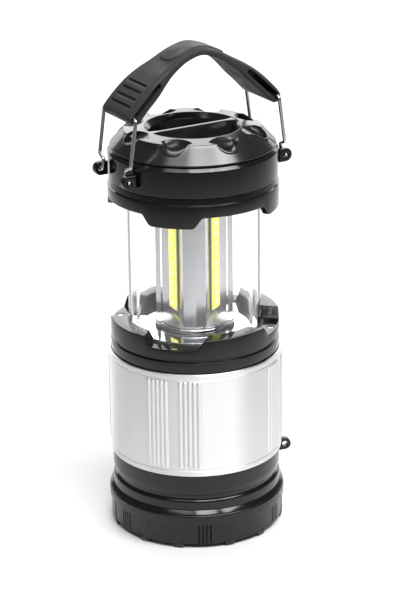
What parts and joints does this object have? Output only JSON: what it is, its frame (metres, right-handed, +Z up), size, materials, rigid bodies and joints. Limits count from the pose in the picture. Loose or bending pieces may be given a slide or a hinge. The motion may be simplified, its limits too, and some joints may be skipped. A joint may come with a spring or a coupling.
{
  "type": "camping lantern",
  "caption": "Collapsible camping lantern: clear lamp head that telescopes into a housing with a fluted metal sleeve, a twist-off base and a strap handle on wire bails.",
  "frame": {"origin": "middle of the footprint, on the plane of the feet", "axes": "+Z up the lantern's axis, +X along the handle, towards the right bail"},
  "size_m": [0.0954, 0.09, 0.2498],
  "materials": {
    "black_plastic": "satin gloss moulded ABS",
    "cap_plastic": "high gloss gunmetal",
    "sleeve_metal": "satin silver sheet, vertical flutes",
    "steel_wire": "bright plated wire",
    "chrome": "vacuum-plated plastic, mirror bright",
    "clear_plastic": "clear polystyrene",
    "lit_strip": "lit phosphor strip",
    "light_board": "white-coated aluminium board",
    "brass": "stamped strip",
    "rubber": "matte dark grey",
    "cell_jacket": null,
    "driver_board": "circuit board",
    "inner_plastic": "dark grey moulding"
  },
  "bodies": {
    "base": {"lower_housing": "black_plastic", "metal_sleeve": "sleeve_metal", "collar_ring": "black_plastic", "collar_screw_1": "steel_wire", "collar_screw_2": "steel_wire", "collar_screw_3": "steel_wire", "collar_screw_4": "steel_wire", "battery_tray": "inner_plastic", "battery_cell_1": "cell_jacket", "battery_cell_2": "cell_jacket", "battery_cell_3": "cell_jacket", "contact_spring_1": "steel_wire", "contact_spring_2": "steel_wire", "contact_spring_3": "steel_wire", "contact_plate_1": "steel_wire", "contact_plate_2": "steel_wire", "contact_plate_3": "steel_wire", "contact_plate_4": "steel_wire", "contact_rail_1": "brass", "contact_rail_2": "brass", "base_seal": "rubber"},
    "twist_cap": {"base_cap": "black_plastic"},
    "lamp_head": {"tube_carrier": "inner_plastic", "friction_ring": "rubber", "wiper_contact_1": "brass", "wiper_contact_2": "brass", "clear_tube": "clear_plastic", "floor_reflector": "chrome", "column_base": "chrome", "reflector_column": "chrome", "light_board_1": "light_board", "light_board_2": "light_board", "light_board_3": "light_board", "light_strip_1": "lit_strip", "light_strip_2": "lit_strip", "light_strip_3": "lit_strip", "top_reflector": "chrome", "driver_board": "driver_board", "lead_wire_1": "rubber", "lead_wire_2": "rubber", "cap_skirt": "black_plastic", "cap_housing": "black_plastic", "cap_top": "cap_plastic"},
    "left_bail": {"bail_left": "steel_wire"},
    "right_bail": {"bail_right": "steel_wire"},
    "strap": {"grip_strap": "rubber"}
  },
  "joints": [
    {"name": "head_slide", "type": "slide", "parent": "base", "child": "lamp_head", "axis": [0, 0, 1], "range_m": [-0.0622, 0]},
    {"name": "cap_twist", "type": "hinge", "parent": "base", "child": "twist_cap", "pos_m": [0, 0, 0.01], "axis": [0, 0, 1], "range_deg": [-30, 0]},
    {"name": "left_bail_hinge", "type": "hinge", "parent": "lamp_head", "child": "left_bail", "pos_m": [-0.0443, 0, 0.1903], "axis": [0, 1, 0], "range_deg": [-15, 15]},
    {"name": "right_bail_hinge", "type": "hinge", "parent": "lamp_head", "child": "right_bail", "pos_m": [0.0443, 0, 0.1903], "axis": [0, 1, 0], "range_deg": [-15, 15]},
    {"name": "strap_hinge", "type": "hinge", "parent": "left_bail", "child": "strap", "pos_m": [-0.04, 0, 0.2208], "axis": [0, 1, 0], "range_deg": [-17, 17]}
  ],
  "couplings": [
    {"joint": "right_bail_hinge", "follows": "left_bail_hinge", "ratio": 1},
    {"joint": "strap_hinge", "follows": "left_bail_hinge", "ratio": -1.1075}
  ]
}
